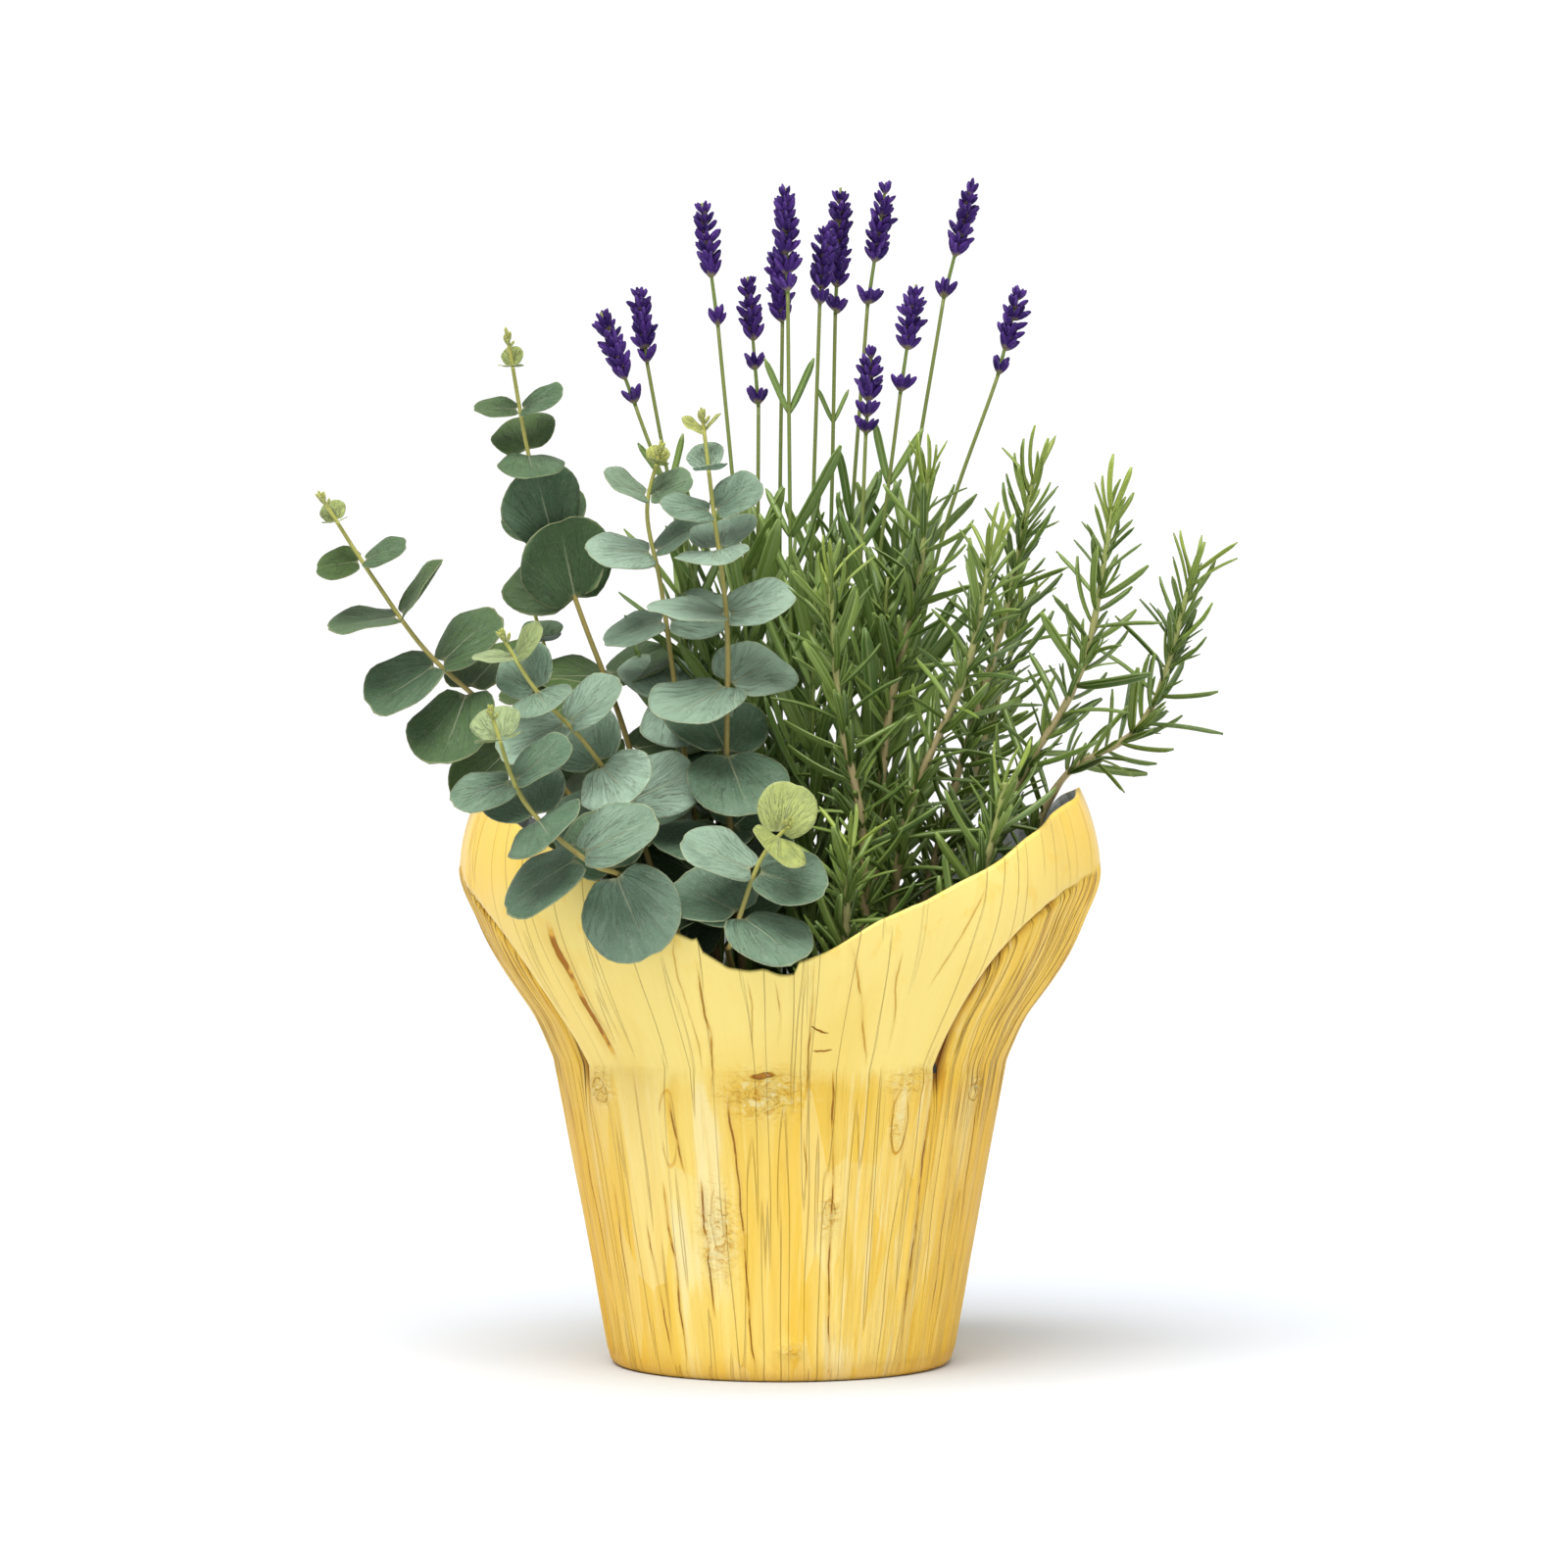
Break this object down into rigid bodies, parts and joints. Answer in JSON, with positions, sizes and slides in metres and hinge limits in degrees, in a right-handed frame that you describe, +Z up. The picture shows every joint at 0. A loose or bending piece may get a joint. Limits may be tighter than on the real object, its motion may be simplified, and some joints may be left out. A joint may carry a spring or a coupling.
{
  "type": "potted herbs",
  "caption": "Potted herbs: lavender in flower, eucalyptus twigs and rosemary sprigs in a nursery pot that stands in a flared wooden cover with a scalloped rim.",
  "frame": {"origin": "centre of the cover's foot, on the surface that it stands on", "axes": "+Z up through the pot, -Y towards the front dip of the rim, +X towards the right-hand peak of the rim"},
  "size_m": [0.3394, 0.2445, 0.44],
  "materials": {
    "cover_wood": "yellow-stained wood veneer with vertical grain, fine cracks and knots, a soft sheen on the broad patches, bare fibrous edge",
    "pot_plastic": "matt black moulded plastic",
    "potting_soil": "dark crumbly peat and bark potting mix",
    "eucalyptus_leaf": "matt waxy blue-green leaf with a pale margin, green to yellow at the tips, tan twig",
    "rosemary_green": "dark green needles with a slight gloss, light green tips, tan to red-brown bark",
    "lavender_green": "matt grey-green stalk and narrow leaf",
    "lavender_violet": "velvety dark violet buds in paler dusty cups"
  },
  "bodies": {
    "root": {"pot_cover": "cover_wood", "nursery_pot": "pot_plastic", "soil": "potting_soil", "eucalyptus_1": "eucalyptus_leaf", "eucalyptus_2": "eucalyptus_leaf", "eucalyptus_3": "eucalyptus_leaf", "eucalyptus_4": "eucalyptus_leaf", "eucalyptus_5": "eucalyptus_leaf", "eucalyptus_6": "eucalyptus_leaf", "eucalyptus_7": "eucalyptus_leaf", "eucalyptus_8": "eucalyptus_leaf", "rosemary_1": "rosemary_green", "rosemary_2": "rosemary_green", "rosemary_3": "rosemary_green", "rosemary_4": "rosemary_green", "rosemary_5": "rosemary_green", "rosemary_6": "rosemary_green", "rosemary_7": "rosemary_green", "rosemary_8": "rosemary_green", "rosemary_9": "rosemary_green", "lavender_leaves_1": "lavender_green", "lavender_leaves_2": "lavender_green", "lavender_leaves_3": "lavender_green", "lavender_leaves_4": "lavender_green", "lavender_leaves_5": "lavender_green", "lavender_leaves_6": "lavender_green", "lavender_leaves_7": "lavender_green", "lavender_leaves_8": "lavender_green", "lavender_stalk_1": "lavender_green", "lavender_flower_1": "lavender_violet", "lavender_stalk_2": "lavender_green", "lavender_flower_2": "lavender_violet", "lavender_stalk_3": "lavender_green", "lavender_flower_3": "lavender_violet", "lavender_stalk_4": "lavender_green", "lavender_flower_4": "lavender_violet", "lavender_stalk_5": "lavender_green", "lavender_flower_5": "lavender_violet", "lavender_stalk_6": "lavender_green", "lavender_flower_6": "lavender_violet", "lavender_stalk_7": "lavender_green", "lavender_flower_7": "lavender_violet", "lavender_stalk_8": "lavender_green", "lavender_flower_8": "lavender_violet", "lavender_stalk_9": "lavender_green", "lavender_flower_9": "lavender_violet", "lavender_stalk_10": "lavender_green", "lavender_flower_10": "lavender_violet", "lavender_stalk_11": "lavender_green", "lavender_flower_11": "lavender_violet", "lavender_stalk_12": "lavender_green", "lavender_flower_12": "lavender_violet", "lavender_stalk_13": "lavender_green", "lavender_flower_13": "lavender_violet"}
  },
  "joints": []
}
